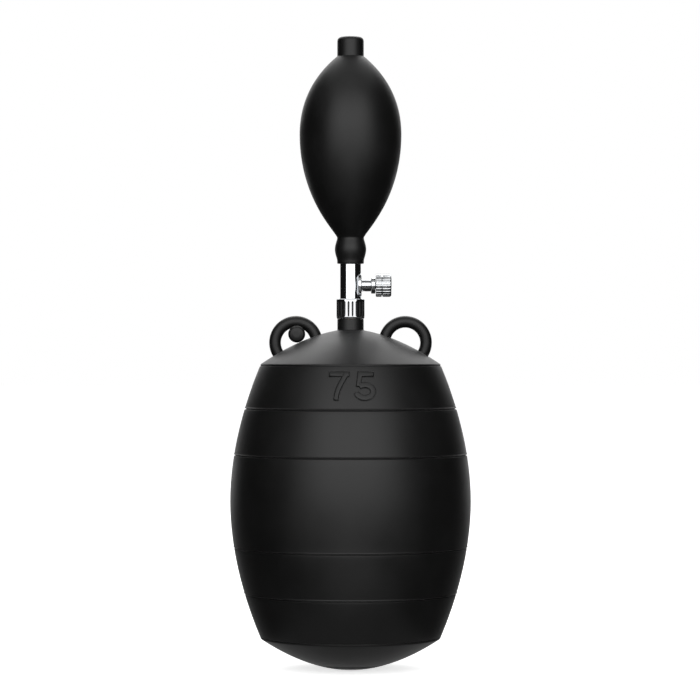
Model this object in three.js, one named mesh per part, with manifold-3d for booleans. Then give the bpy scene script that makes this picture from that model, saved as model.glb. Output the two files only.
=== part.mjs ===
// Inflatable pipe plug with a squeeze bulb: a hollow rubber bladder that swells inside a pipe,
// a knurled coupling, a chrome stem with a bleed screw, and a hand pump with a check valve at each end.
// Millimetres. +Z runs up the plug's axis and Z = 0 is the middle of the barrel.
// +X is the side of the bleed screw, and -Y is the front.
import * as THREE from 'three';
import { mergeVertices } from 'three/addons/utils/BufferGeometryUtils.js';
import Module from 'manifold-3d';

const wasm = await Module();
wasm.setup();

// Clearances
const fitGap = 0.05; // radial, between a turned piece and its hole
const seatGap = 0.05; // between two flat faces that press on each other
const spindleGap = 0.1; // radial, round the bleed spindle
const looseGap = 0.3; // round the peg and the nipple's flange
const overrun = 1; // of a cut past the face that it opens

// Bladder: the deflated barrel slides into a 75 mm pipe
const barrelRadius = 36.1;
const barrelEndRadius = 26.9;
const barrelHalfHeight = 41.1;
const barrelCrown = 1.9; // power of the barrel's side curve
const grooveSpacing = 13.85;
const groovesEachWay = 2;
const grooveWidth = 0.5;
const grooveDepth = 0.45;
const topDomeRise = 10.5;
const topDomePower = 1.72;
const bottomDomeRise = 9.5;
const bottomDomePower = 1.88;
const bladderWall = 4;
const rimWall = 3; // at the barrel's two edges
const collarRadius = 3.95;
const collarHeight = 3;
const neckWall = 1.4;

// Lifting eyes, moulded on the top dome
const eyeInset = 10.5; // from the barrel's end radius in to the ring's centre
const eyeRise = 0.4; // of the ring's centre above the dome
const eyeRadius = 6.25;
const eyeCordRadius = 1.75;

// Peg in the left eye
const pegLip = 0.75; // of the head beyond the shank
const pegBarb = 0.45; // of the tail beyond the shank
const pegHeadLength = 1.9;
const pegTailLength = 1.5;
const pegTailTaper = 0.7; // share of the tail that narrows to its tip
const pegHeadRim = 0.4; // share of the head's length that is straight

// Threaded nipple in the bladder's neck
const airBoreRadius = 1.2;
const nippleFlangeRadius = 5;
const nippleFlangeThickness = 1.2;
const nippleThreadHeight = 3.3;
const barbHeight = 0.3;
const barbPlain = 0.1; // share of a barb's pitch left plain at each end
const nippleBarbs = 2;
const nippleBarbMargin = 1; // from the flange, and from the collar's top, to the barbs
const stemBarbs = 2;
const stemBarbLow = 1.5; // from the stem's shoulder to the barbs
const stemBarbHigh = 0.5; // from the barbs to the stem's top

// Coupling: gasket, stem foot, slip washer and knurled nut
const gasketThickness = 0.8;
const footThickness = 0.8;
const footWidth = 0.4; // of the stem's foot beyond its tube
const slipWasherThickness = 0.3;
const nutWall = 0.57;
const nutLipThickness = 0.56;
const nutChamfer = 0.2;
const nutGrooves = 22;
const nutGrooveWidth = 0.46;
const nutGrooveDepth = 0.35;
const nutGrooveMargin = 0.75; // plain band at each end of a groove
const nutRise = 0.375; // three quarters of a turn at 0.5 mm a turn

// Stem
const stemRadius = 3.1;
const stemWall = 1.5;
const stemAboveBleed = 2.85;
const shoulderWidth = 0.6; // where the bulb's neck seats
const spigotWall = 0.5; // round the check valve's pocket
const spotFaceDepth = 0.85;

// Bleed valve on the stem's side
const bleedFlangeRadius = 3.6;
const bleedFlangeThickness = 1;
const shankRadius = 1.8;
const shankLength = 2.8;
const shankStep = 0.3; // from the shank down to its two spigots
const shankSpigotWall = 0.35;
const shankSpigotLength = 0.9;
const ventRadius = 0.5;
const ventOffset = 0.75; // from the flange's face to the vent's centre
const ringStep = 0.68; // of the ring beyond the shank
const ringLength = 1.3;
const ringGrooveDepth = 0.15;
const ringGrooveWidth = 0.21;
const noseStep = 0.25; // from the spindle down to its nose
const noseLength = 1.6;
const padMargin = 0.2; // from the spindle down to the pad
const padCover = 0.25; // of the pad beyond the bleed hole
const padThickness = 0.5;
const oRingCordRadius = 0.22;
const oRingGrooveWidth = 0.55;
const knobRadius = 3.45;
const knobLength = 4.7;
const knobRound = 0.75;
const knobFlutes = 24;
const knobFluteDepth = 0.16;
const knobWaistPlace = 1.9; // from the knob's inner face to the groove round it
const knobWaistWidth = 0.45;
const knobWaistDepth = 0.55;

// Check valves
const outletBallLift = 0.9;
const inletBallRadius = 1.1;
const inletBallLift = 0.9;
const ballSideGap = 0.75;
const cageFloor = 0.9;
const seatThickness = 1.6;
const screenThickness = 0.4;
const screenHoleRadius = 0.28;
const screenHoles = 7;
const cageWall = 0.45;
const cageHoles = 5;
const cageHole = 0.17; // share of the cage's radius
const holeCircle = 0.6; // share of the cage's or screen's radius
const seatMouth = 0.7; // share of the ball's radius
const pocketFloor = 1.3; // of the outlet valve's pocket above the stem's shoulder

// Squeeze bulb
const bulbNeckWall = 1.15;
const bulbNeckLength = 7.7;
const beadSwell = 0.7;
const beadStart = 0.9;
const beadPower = 1.3; // of the bead's sine
const bulbRadius = 15.27;
const bulbLowerHeight = 31.1; // waist to equator
const bulbUpperHeight = 23.4; // equator to shoulder
const bulbWall = 2;
const waistHandle = 0.05; // handles of the two curves, as shares of their height or width
const equatorLowHandle = 0.64;
const equatorHighHandle = 0.47;
const shoulderHandle = 0.53;
const shoulderDrop = 0.21;
const tailRadius = 3.98;
const tailLength = 5.8;
const tailRound = 2;
const tailLipThickness = 1.2;
const tailMouthRadius = 1.3;

// Smoothness: facets round a turned piece
const bladderFacets = 36;
const bulbFacets = 24;
const stemFacets = 24;
const smallFacets = 16;
const barrelStep = 5; // between outline points up the barrel
const domeSteps = 6;
const cavitySteps = 4;
const beadSteps = 6;
const bellySteps = 8;

// Finishes
const finishes = {
  rubber: { color: 0x232323, roughness: 0.55, metalness: 0 },
  chrome: { color: 0xd6d8da, roughness: 0.12, metalness: 1 },
  brass: { color: 0xb6914e, roughness: 0.3, metalness: 1 },
  steel: { color: 0xb9bcbe, roughness: 0.25, metalness: 1 },
  nylon: { color: 0xe4e0d2, roughness: 0.5, metalness: 0 },
};

// Heights, stacked from the barrel up
const topApex = barrelHalfHeight + topDomeRise;
const collarTop = topApex + collarHeight;
const nutBottom = collarTop + seatGap;
const nippleTop = nutBottom + nippleThreadHeight;
const footBottom = nippleTop + gasketThickness + 2 * seatGap;
const footTop = footBottom + footThickness;
const slipBottom = footTop + seatGap;
const lipBottom = slipBottom + slipWasherThickness + seatGap;
const nutTop = lipBottom + nutLipThickness;
const bleedHeight = nutTop + nutRise + 2 * seatGap + bleedFlangeRadius;
const stemShoulder = bleedHeight + bleedFlangeRadius + stemAboveBleed;
const bulbBottom = stemShoulder + seatGap;
const waistHeight = bulbBottom + bulbNeckLength;
const equatorHeight = waistHeight + bulbLowerHeight;
const bulbShoulder = equatorHeight + bulbUpperHeight;
const bulbTop = bulbShoulder + tailLength;

// Radii that fit one in another
const eyeOffset = barrelEndRadius - eyeInset;
const eyeInside = eyeRadius - eyeCordRadius;
const pegHeadRadius = (eyeRise + eyeInside) / 2 - fitGap;
const pegShankRadius = pegHeadRadius - pegLip;
const stemBoreRadius = stemRadius - stemWall;
const footRadius = stemRadius + footWidth;
const nutBore = footRadius + 3 * fitGap;
const nippleThreadRadius = nutBore - fitGap;
const nutRadius = nutBore + nutWall;
const neckBore = collarRadius - neckWall;
const nippleShankRadius = neckBore - fitGap - barbHeight;
const stemSpigotRadius = stemRadius - shoulderWidth;
const outletPocket = stemSpigotRadius - spigotWall;
const outletBallRadius = outletPocket - ballSideGap;
const bulbNeckBore = stemSpigotRadius + barbHeight + fitGap;
const bulbNeckRadius = bulbNeckBore + bulbNeckWall;
const inletPocket = inletBallRadius + ballSideGap + cageWall + fitGap;
const shankSpigotRadius = shankRadius - shankStep;
const spindleBore = shankSpigotRadius - shankSpigotWall;
const spindleRadius = spindleBore - spindleGap;
const padRadius = spindleRadius - padMargin;

// Curve helpers
const point = (radius, height) => new THREE.Vector2(radius, height);
const steps = (count, place) => Array.from({ length: count + 1 }, (_, i) => place(i / count));
const bezier = (count, ...ends) => new THREE.CubicBezierCurve(...ends).getPoints(count);
const arc = (cx, cy, radius, from, to, count) =>
  steps(count, (t) => {
    const angle = THREE.MathUtils.degToRad(from + (to - from) * t);
    return point(cx + radius * Math.cos(angle), cy + radius * Math.sin(angle));
  });

// A closed mesh as a solid that can be joined and cut
function solid(geometry) {
  const bare = geometry.clone();
  bare.deleteAttribute('normal');
  bare.deleteAttribute('uv');
  const merged = mergeVertices(bare, 1e-5);
  const corners = merged.index.array;
  const faces = [];
  for (let i = 0; i < corners.length; i += 3) {
    const [a, b, c] = corners.slice(i, i + 3);
    if (a !== b && b !== c && c !== a) faces.push(a, b, c);
  }
  return new wasm.Manifold(
    new wasm.Mesh({
      numProp: 3,
      vertProperties: new Float32Array(merged.attributes.position.array),
      triVerts: new Uint32Array(faces),
    }),
  );
}

// Turned about Z: the outline is (radius, height), goes up the outside and closes on itself
function turned(outline, facets) {
  const geometry = new THREE.LatheGeometry([...outline, outline[0]], facets);
  return solid(geometry.rotateX(Math.PI / 2));
}

// Turned about X: the outline is (radius, distance along X)
function turnedAlongX(outline, facets) {
  const geometry = new THREE.LatheGeometry([...outline, outline[0]], facets);
  return solid(geometry.rotateZ(-Math.PI / 2));
}

// A ring of rectangular section about Z
const ring = (inner, outer, low, high, facets) =>
  turned([point(inner, low), point(outer, low), point(outer, high), point(inner, high)], facets);

// A flat disc from z = 0 up, with one hole in the middle and the others on a circle
function sieve(radius, thickness, holeRadius, holeCircle, holes, facets) {
  const shape = new THREE.Shape().absarc(0, 0, radius, 0, 2 * Math.PI);
  const places = steps(holes - 1, (t) => (t * (holes - 1) * 2 * Math.PI) / holes);
  const centres = [[0, 0], ...places.map((a) => [holeCircle * Math.cos(a), holeCircle * Math.sin(a)])];
  shape.holes = centres.map(([x, y]) => new THREE.Path().absarc(x, y, holeRadius, 0, 2 * Math.PI, true));
  const settings = { depth: thickness, bevelEnabled: false, curveSegments: facets };
  return solid(new THREE.ExtrudeGeometry(shape, settings));
}

// A named piece, from a solid
function piece(name, body, finish) {
  const shape = body.getMesh();
  const geometry = new THREE.BufferGeometry();
  geometry.setAttribute('position', new THREE.BufferAttribute(shape.vertProperties, 3));
  geometry.setIndex(new THREE.BufferAttribute(shape.triVerts, 1));
  const mesh = new THREE.Mesh(geometry, new THREE.MeshStandardMaterial(finishes[finish]));
  mesh.name = name;
  return mesh;
}

// Bladder outline
const barrelAt = (z) =>
  barrelRadius - (barrelRadius - barrelEndRadius) * Math.abs(z / barrelHalfHeight) ** barrelCrown;
const topDomeAt = (r) => topApex - topDomeRise * (r / barrelEndRadius) ** topDomePower;
const bottomDomeAt = (r) =>
  -barrelHalfHeight - bottomDomeRise * (1 - (r / barrelEndRadius) ** bottomDomePower);
const eyeHeight = topDomeAt(eyeOffset) + eyeRise;
const nippleSeat = topDomeAt(nippleFlangeRadius + looseGap) - bladderWall;

// A groove round the barrel, as the outline meets it going up
function groove(z) {
  const bottom = barrelAt(z) - grooveDepth;
  const half = grooveWidth / 2;
  return [
    point(barrelAt(z - half), z - half),
    point(bottom, z - half / 2),
    point(bottom, z + half / 2),
    point(barrelAt(z + half), z + half),
  ];
}

// The barrel's side from its lower edge to its upper one, with its grooves
function barrelSide() {
  const offsets = steps(groovesEachWay - 1, (t) => grooveSpacing * (1 + t * (groovesEachWay - 1)));
  const grooves = [...offsets.map((z) => -z).reverse(), ...offsets];
  const outline = [];
  let low = -barrelHalfHeight;
  for (const high of [...grooves, barrelHalfHeight]) {
    const count = Math.round((high - low) / barrelStep);
    const band = steps(count, (t) => low + (high - low) * t).map((z) => point(barrelAt(z), z));
    outline.push(...band.slice(low > -barrelHalfHeight ? 1 : 0, -1));
    if (high < barrelHalfHeight) outline.push(...groove(high));
    low = high;
  }
  return outline;
}

function bladder() {
  const bottom = steps(domeSteps, (t) => barrelEndRadius * t).map((r) => point(r, bottomDomeAt(r)));
  const top = steps(domeSteps, (t) => barrelEndRadius + (collarRadius - barrelEndRadius) * t);
  const outside = turned(
    [
      ...bottom.slice(0, -1),
      ...barrelSide(),
      ...top.map((r) => point(r, topDomeAt(r))),
      point(collarRadius, collarTop),
      point(0, collarTop),
    ],
    bladderFacets,
  );
  const corner = barrelEndRadius - rimWall;
  const floor = steps(cavitySteps, (t) => corner * t).map((r) => point(r, bottomDomeAt(r) + bladderWall));
  const reach = topDomeAt(corner) - bladderWall;
  const side = steps(cavitySteps + 2, (t) => -reach + 2 * reach * t).slice(1, -1);
  const flangeRoom = nippleFlangeRadius + looseGap;
  const ceiling = steps(cavitySteps - 1, (t) => corner + (flangeRoom - corner) * t);
  const cavity = turned(
    [
      ...floor,
      ...side.map((z) => point(barrelAt(z) - bladderWall, z)),
      ...ceiling.map((r) => point(r, topDomeAt(r) - bladderWall)),
      point(neckBore, nippleSeat),
      point(neckBore, collarTop + overrun),
      point(0, collarTop + overrun),
    ],
    bladderFacets,
  );
  const eye = (side) =>
    solid(
      new THREE.TorusGeometry(eyeRadius, eyeCordRadius, 10, 28)
        .rotateX(Math.PI / 2)
        .translate(side * eyeOffset, 0, eyeHeight),
    );
  return piece('bladder', outside.add(eye(1)).add(eye(-1)).subtract(cavity), 'rubber');
}

function eyePeg() {
  const front = eyeCordRadius + looseGap;
  const pegTailRadius = pegShankRadius + pegBarb;
  const outline = [
    point(0, -front - pegTailLength),
    point(pegShankRadius, -front - pegTailLength),
    point(pegTailRadius, -front - (1 - pegTailTaper) * pegTailLength),
    point(pegTailRadius, -front),
    point(pegShankRadius, -front),
    point(pegShankRadius, front),
    point(pegHeadRadius, front),
    point(pegHeadRadius, front + pegHeadRim * pegHeadLength),
    point(2 * pegHeadRim * pegHeadRadius, front + 2 * pegHeadRim * pegHeadLength),
    point(pegHeadRim * pegHeadRadius, front + pegHeadLength),
    point(0, front + pegHeadLength),
  ];
  const mesh = piece('eye_peg', turned(outline, smallFacets), 'rubber');
  mesh.rotation.x = Math.PI / 2;
  mesh.position.set(-eyeOffset + looseGap, 0, eyeHeight + eyeInside - pegShankRadius - looseGap);
  return mesh;
}

// Barbs up a tube: short cones from low to high, each with its step at the bottom
function barbs(radius, low, high, count) {
  const pitch = (high - low) / count;
  return steps(count - 1, (t) => low + (high - low - pitch) * t).flatMap((z) => [
    point(radius + barbHeight, z + barbPlain * pitch),
    point(radius, z + (1 - barbPlain) * pitch),
  ]);
}

function neckNipple() {
  const outline = [
    point(airBoreRadius, nippleSeat - seatGap - nippleFlangeThickness),
    point(nippleFlangeRadius, nippleSeat - seatGap - nippleFlangeThickness),
    point(nippleFlangeRadius, nippleSeat - seatGap),
    point(nippleShankRadius, nippleSeat - seatGap),
    ...barbs(nippleShankRadius, nippleSeat + nippleBarbMargin, collarTop - nippleBarbMargin, nippleBarbs),
    point(nippleShankRadius, nutBottom),
    point(nippleThreadRadius, nutBottom),
    point(nippleThreadRadius, nippleTop),
    point(airBoreRadius, nippleTop),
  ];
  return piece('neck_nipple', turned(outline, stemFacets), 'brass');
}

function couplingGasket() {
  const low = nippleTop + seatGap;
  const body = ring(stemBoreRadius, footRadius - fitGap, low, low + gasketThickness, stemFacets);
  return piece('coupling_gasket', body, 'rubber');
}

function nutSlipWasher() {
  const high = slipBottom + slipWasherThickness;
  const body = ring(stemRadius + fitGap, footRadius, slipBottom, high, stemFacets);
  return piece('nut_slip_washer', body, 'nylon');
}

function couplingNut() {
  const outline = [
    point(nutBore, nutBottom),
    point(nutRadius - nutChamfer, nutBottom),
    point(nutRadius, nutBottom + 3 * nutChamfer),
    point(nutRadius, nutTop - nutChamfer),
    point(nutRadius - nutChamfer, nutTop),
    point(stemRadius + fitGap, nutTop),
    point(stemRadius + fitGap, lipBottom),
    point(nutBore, lipBottom),
  ];
  const length = nutTop - nutBottom - 2 * nutGrooveMargin;
  const cutter = new THREE.BoxGeometry(2 * nutGrooveDepth, nutGrooveWidth, length);
  cutter.translate(nutRadius, 0, (nutTop + nutBottom) / 2);
  let body = turned(outline, 2 * nutGrooves);
  for (let i = 0; i < nutGrooves; i++) {
    const turn = ((i + 0.5) * 2 * Math.PI) / nutGrooves - Math.PI / 2;
    body = body.subtract(solid(cutter.clone().rotateZ(turn)));
  }
  return piece('coupling_nut', body, 'chrome');
}

// The stem's check valve, from its cage up: the seat stops the ball a lift above the cage floor
const outletCageBottom = stemShoulder + pocketFloor;
const outletRest = outletCageBottom + seatGap + cageFloor + outletBallRadius;
const outletSeatRadius = seatMouth * outletBallRadius;
const seatDrop = (ball, seat) => Math.sqrt(ball ** 2 - seat ** 2);
const outletSeatBottom =
  outletRest + outletBallLift + seatDrop(outletBallRadius, outletSeatRadius) + seatGap;
const outletSeatTop = outletSeatBottom + seatThickness;
const stemTop = outletSeatTop + seatGap + screenThickness;

function valveStem() {
  const outline = [
    point(stemBoreRadius, footBottom),
    point(footRadius, footBottom),
    point(footRadius, footTop),
    point(stemRadius, footTop),
    point(stemRadius, stemShoulder),
    point(stemSpigotRadius, stemShoulder),
    ...barbs(stemSpigotRadius, stemShoulder + stemBarbLow, stemTop - stemBarbHigh, stemBarbs),
    point(stemSpigotRadius, stemTop),
    point(outletPocket, stemTop),
    point(outletPocket, outletCageBottom),
    point(stemBoreRadius, outletCageBottom),
  ];
  const faceRadius = bleedFlangeRadius + fitGap;
  const holeRadius = shankSpigotRadius + fitGap;
  const spotFace = new THREE.CylinderGeometry(faceRadius, faceRadius, stemRadius, bulbFacets);
  const bleedHole = new THREE.CylinderGeometry(holeRadius, holeRadius, stemRadius, smallFacets);
  const flat = stemRadius - spotFaceDepth;
  spotFace.rotateZ(Math.PI / 2).translate(flat + stemRadius / 2, 0, bleedHeight);
  bleedHole.rotateZ(Math.PI / 2).translate(stemRadius / 2, 0, bleedHeight);
  const body = turned(outline, stemFacets).subtract(solid(spotFace)).subtract(solid(bleedHole));
  return piece('valve_stem', body, 'chrome');
}

// A cage: a sieve floor with a wall round the ball
function cage(name, bottom, radius, height) {
  const floor = sieve(radius, cageFloor, radius * cageHole, radius * holeCircle, cageHoles, 6);
  if (height <= cageFloor) return piece(name, floor.translate([0, 0, bottom]), 'brass');
  const wall = ring(radius - cageWall, radius, cageFloor / 2, height, 24);
  return piece(name, floor.add(wall).translate([0, 0, bottom]), 'brass');
}

// A valve seat: a bush whose lower mouth the ball closes
function valveSeat(name, low, high, radius, mouth) {
  return piece(name, ring(mouth, radius, low, high, smallFacets), 'brass');
}

function ball(name, radius, height) {
  const shape = solid(new THREE.SphereGeometry(radius, 12, 8));
  const mesh = piece(name, shape, 'steel');
  mesh.position.z = height;
  return mesh;
}

function screen(name, low, radius) {
  const disc = sieve(radius, screenThickness, screenHoleRadius, radius * holeCircle, screenHoles, 3);
  const mesh = piece(name, disc, 'steel');
  mesh.position.z = low;
  return mesh;
}

function outletValve() {
  const radius = outletPocket - fitGap;
  return [
    cage('outlet_cage', outletCageBottom + seatGap, radius, cageFloor),
    ball('outlet_ball', outletBallRadius, outletRest + seatGap),
    valveSeat('outlet_seat', outletSeatBottom + seatGap, outletSeatTop, radius, outletSeatRadius),
    screen('outlet_screen', outletSeatTop + seatGap, radius),
  ];
}

// The tail's check valve, from its seat down
const inletTop = bulbTop - tailLipThickness - seatGap;
const inletSeatTop = inletTop - screenThickness - seatGap;
const inletSeatBottom = inletSeatTop - seatThickness;
const inletSeatRadius = seatMouth * inletBallRadius;
const inletRest =
  inletSeatBottom - seatDrop(inletBallRadius, inletSeatRadius) - inletBallLift - seatGap;
const inletCageBottom = inletRest - inletBallRadius - seatGap - cageFloor;

function inletValve() {
  const radius = inletPocket - fitGap;
  const wallHeight = inletSeatBottom - seatGap - inletCageBottom;
  return [
    cage('inlet_cage', inletCageBottom, radius, wallHeight),
    ball('inlet_ball', inletBallRadius, inletRest),
    valveSeat('inlet_seat', inletSeatBottom, inletSeatTop, radius, inletSeatRadius),
    screen('inlet_screen', inletSeatTop + seatGap, radius),
  ];
}

// Bleed valve: distances along X from the stem's axis
const flangeInner = stemRadius - spotFaceDepth + seatGap;
const flangeOuter = flangeInner + bleedFlangeThickness;
const shankEnd = flangeOuter + shankLength;
const outerEnd = shankEnd + shankSpigotLength;
const padSeat = flangeInner + seatGap;
const noseStart = padSeat + padThickness + 2 * seatGap;
const noseEnd = noseStart + noseLength;
const ringStart = shankEnd + seatGap;
const ringEnd = ringStart + ringLength;
const knobStart = ringEnd + 2 * seatGap;
const oRingPlace = noseEnd + oRingGrooveWidth;
const oRingRadius = spindleBore - fitGap / 2 - oRingCordRadius;

function bleedTube() {
  const bleedHoleRadius = padRadius - padCover;
  const innerEnd = flangeInner - shankSpigotLength / 2;
  const outline = [
    point(bleedHoleRadius, innerEnd),
    point(shankSpigotRadius, innerEnd),
    point(shankSpigotRadius, flangeInner),
    point(bleedFlangeRadius, flangeInner),
    point(bleedFlangeRadius, flangeOuter),
    point(shankRadius, flangeOuter),
    point(shankRadius, shankEnd),
    point(shankSpigotRadius, shankEnd),
    point(shankSpigotRadius, outerEnd),
    point(spindleBore, outerEnd),
    point(spindleBore, padSeat),
    point(bleedHoleRadius, padSeat),
  ];
  const middle = (spindleBore + shankRadius) / 2;
  const vent = new THREE.CylinderGeometry(ventRadius, ventRadius, spindleBore, 10);
  vent.rotateX(Math.PI / 2).translate(flangeOuter + ventOffset, 0, -middle);
  return piece('bleed_tube', turnedAlongX(outline, stemFacets).subtract(solid(vent)), 'chrome');
}

function bleedRing() {
  const ringRadius = shankRadius + ringStep;
  const bore = shankSpigotRadius + fitGap;
  const middle = (ringStart + ringEnd) / 2;
  const outline = [
    point(bore, ringStart),
    point(ringRadius, ringStart),
    point(ringRadius, middle - ringGrooveWidth / 2),
    point(ringRadius - ringGrooveDepth, middle),
    point(ringRadius, middle + ringGrooveWidth / 2),
    point(ringRadius, ringEnd),
    point(spindleBore, ringEnd),
    point(spindleBore, outerEnd + seatGap),
    point(bore, outerEnd + seatGap),
  ];
  return piece('bleed_ring', turnedAlongX(outline, stemFacets), 'chrome');
}

function bleedORing() {
  const torus = new THREE.TorusGeometry(oRingRadius, oRingCordRadius, 6, smallFacets);
  return piece('bleed_o_ring', solid(torus.rotateY(Math.PI / 2).translate(oRingPlace, 0, 0)), 'rubber');
}

function bleedSealPad() {
  const low = padSeat + seatGap;
  const high = low + padThickness;
  const outline = [point(0, low), point(padRadius, low), point(padRadius, high), point(0, high)];
  return piece('bleed_seal_pad', turnedAlongX(outline, smallFacets), 'rubber');
}

// The knob's grip: straight flutes, as an outline pulled along X
function flutedGrip() {
  const outline = steps(2 * knobFlutes - 1, (t) => {
    const index = Math.round(t * (2 * knobFlutes - 1));
    const radius = knobRadius - (index % 2) * knobFluteDepth;
    const angle = (index * Math.PI) / knobFlutes;
    return point(radius * Math.cos(angle), radius * Math.sin(angle));
  });
  const length = { depth: knobLength, bevelEnabled: false };
  const grip = new THREE.ExtrudeGeometry(new THREE.Shape(outline), length);
  return solid(grip.rotateY(Math.PI / 2).translate(knobStart, 0, 0));
}

function bleedScrew() {
  const knobEnd = knobStart + knobLength;
  const waist = knobStart + knobWaistPlace;
  const waistRadius = knobRadius - knobWaistDepth;
  const form = turnedAlongX(
    [
      point(0, knobStart),
      point(knobRadius, knobStart),
      point(knobRadius, waist - knobWaistWidth / 2),
      point(waistRadius, waist - knobWaistWidth / 2),
      point(waistRadius, waist + knobWaistWidth / 2),
      point(knobRadius, waist + knobWaistWidth / 2),
      ...arc(knobRadius - knobRound, knobEnd - knobRound, knobRound, 0, 90, 2),
      point(0, knobEnd),
    ],
    2 * knobFlutes,
  );
  const noseRadius = spindleRadius - noseStep;
  const grooveRoot = oRingRadius - oRingCordRadius - fitGap;
  const spindle = turnedAlongX(
    [
      point(0, noseStart),
      point(noseRadius, noseStart),
      point(noseRadius, noseEnd - fitGap),
      point(spindleRadius, noseEnd - fitGap),
      point(spindleRadius, oRingPlace - oRingGrooveWidth / 2),
      point(grooveRoot, oRingPlace - oRingGrooveWidth / 2),
      point(grooveRoot, oRingPlace + oRingGrooveWidth / 2),
      point(spindleRadius, oRingPlace + oRingGrooveWidth / 2),
      point(spindleRadius, knobStart + knobLength / 2),
      point(0, knobStart + knobLength / 2),
    ],
    smallFacets,
  );
  return piece('bleed_screw', flutedGrip().intersect(form).add(spindle), 'chrome');
}

function bleedValve() {
  const group = new THREE.Group();
  group.add(bleedTube(), bleedRing(), bleedORing(), bleedSealPad(), bleedScrew());
  group.position.z = bleedHeight;
  return group;
}

// Squeeze bulb: one lower and one upper curve meet at the equator
function belly(neck, waist, equator, tail, shoulder) {
  const lower = bezier(
    bellySteps,
    point(neck, waist),
    point(neck, waist + waistHandle * bulbLowerHeight),
    point(equator, equatorHeight - equatorLowHandle * bulbLowerHeight),
    point(equator, equatorHeight),
  );
  const upper = bezier(
    bellySteps - 1,
    point(equator, equatorHeight),
    point(equator, equatorHeight + equatorHighHandle * bulbUpperHeight),
    point(tail + shoulderHandle * (equator - tail), shoulder - shoulderDrop * bulbUpperHeight),
    point(tail, shoulder),
  );
  return [...lower, ...upper.slice(1)];
}

function squeezeBulb() {
  const bead = steps(beadSteps, (t) => {
    const swell = beadSwell * Math.sin(Math.PI * t) ** beadPower;
    return point(bulbNeckRadius + swell, bulbBottom + beadStart + t * (bulbNeckLength - beadStart));
  });
  const insideWaist = waistHeight + bulbWall;
  const insideShoulder = bulbShoulder - bulbWall / 2;
  const inside = belly(bulbNeckBore, insideWaist, bulbRadius - bulbWall, inletPocket, insideShoulder);
  const outline = [
    point(bulbNeckBore, bulbBottom),
    point(bulbNeckRadius, bulbBottom),
    ...bead.slice(0, -1),
    ...belly(bulbNeckRadius, waistHeight, bulbRadius, tailRadius, bulbShoulder),
    ...arc(tailRadius - tailRound, bulbTop - tailRound, tailRound, 0, 90, 3),
    point(tailMouthRadius, bulbTop),
    point(tailMouthRadius, bulbTop - tailLipThickness),
    point(inletPocket, bulbTop - tailLipThickness),
    ...inside.reverse(),
  ];
  return piece('squeeze_bulb', turned(outline, bulbFacets), 'rubber');
}

const plug = new THREE.Group();
plug.add(
  bladder(),
  eyePeg(),
  neckNipple(),
  couplingGasket(),
  nutSlipWasher(),
  couplingNut(),
  valveStem(),
  ...outletValve(),
  bleedValve(),
  squeezeBulb(),
  ...inletValve(),
);

export default plug;
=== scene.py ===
"""Dresses the inflatable pipe plug: moulded rubber bladder, chrome coupling and bleed valve, rubber bulb."""

import logging
import math
from collections.abc import Iterable, Sequence
from dataclasses import dataclass
from enum import Enum
from typing import ClassVar

import bmesh
import bpy
from bmesh.types import BMesh
from mathutils import Matrix, Vector
from mathutils.geometry import interpolate_bezier


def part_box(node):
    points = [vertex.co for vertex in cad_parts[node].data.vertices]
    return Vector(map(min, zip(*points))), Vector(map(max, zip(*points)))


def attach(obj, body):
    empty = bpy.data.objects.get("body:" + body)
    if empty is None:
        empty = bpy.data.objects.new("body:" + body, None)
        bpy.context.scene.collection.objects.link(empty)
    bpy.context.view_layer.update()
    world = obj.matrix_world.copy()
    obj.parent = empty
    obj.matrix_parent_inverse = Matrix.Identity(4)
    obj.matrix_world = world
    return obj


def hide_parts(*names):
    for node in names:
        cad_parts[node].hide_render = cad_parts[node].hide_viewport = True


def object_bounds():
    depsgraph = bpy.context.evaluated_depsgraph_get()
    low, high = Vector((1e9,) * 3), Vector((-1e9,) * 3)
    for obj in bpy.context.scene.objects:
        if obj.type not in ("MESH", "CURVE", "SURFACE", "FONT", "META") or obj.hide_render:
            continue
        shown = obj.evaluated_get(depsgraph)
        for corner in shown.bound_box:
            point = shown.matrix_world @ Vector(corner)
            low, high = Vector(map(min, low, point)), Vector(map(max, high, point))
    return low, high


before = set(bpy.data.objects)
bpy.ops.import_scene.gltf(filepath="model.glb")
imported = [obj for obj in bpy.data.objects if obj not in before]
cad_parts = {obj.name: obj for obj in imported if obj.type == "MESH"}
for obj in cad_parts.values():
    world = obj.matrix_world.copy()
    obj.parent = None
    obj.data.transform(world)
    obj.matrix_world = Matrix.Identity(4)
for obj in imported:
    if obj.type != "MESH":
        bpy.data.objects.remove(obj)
CAD_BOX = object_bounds()

log = logging.getLogger("pipe_plug")

MM = 0.001
FULL_TURN = 2 * math.pi
SHARP_ANGLE = math.radians(30)
EDGE_SHARE = 0.48  # how much of an edge the rounding at one of its ends may take
MERGE_GAP = 1e-4
SHORTEST_EDGE = 1e-5


class Axis(Enum):
    """The direction in which a turned piece's outline goes up."""

    UP = "up"
    SIDE = "side"
    FRONT = "front"

    def turn(self) -> Matrix:
        """Gives the rotation from +Z to this direction.

        Returns:
            The rotation.
        """
        if self is Axis.SIDE:
            return Matrix.Rotation(math.radians(90), 4, "Y")
        if self is Axis.FRONT:
            return Matrix.Rotation(math.radians(90), 4, "X")
        return Matrix.Identity(4)


class Join(Enum):
    """What a second shape does to a first one."""

    ADD = "UNION"
    CUT = "DIFFERENCE"


@dataclass(frozen=True)
class Corner:
    """A point of an outline, in millimetres, and the rounding of its corner."""

    radius: float
    height: float
    rounding: float = 0.0

    def place(self) -> Vector:
        """Gives the point without its rounding."""
        return Vector((self.radius, self.height))


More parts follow.
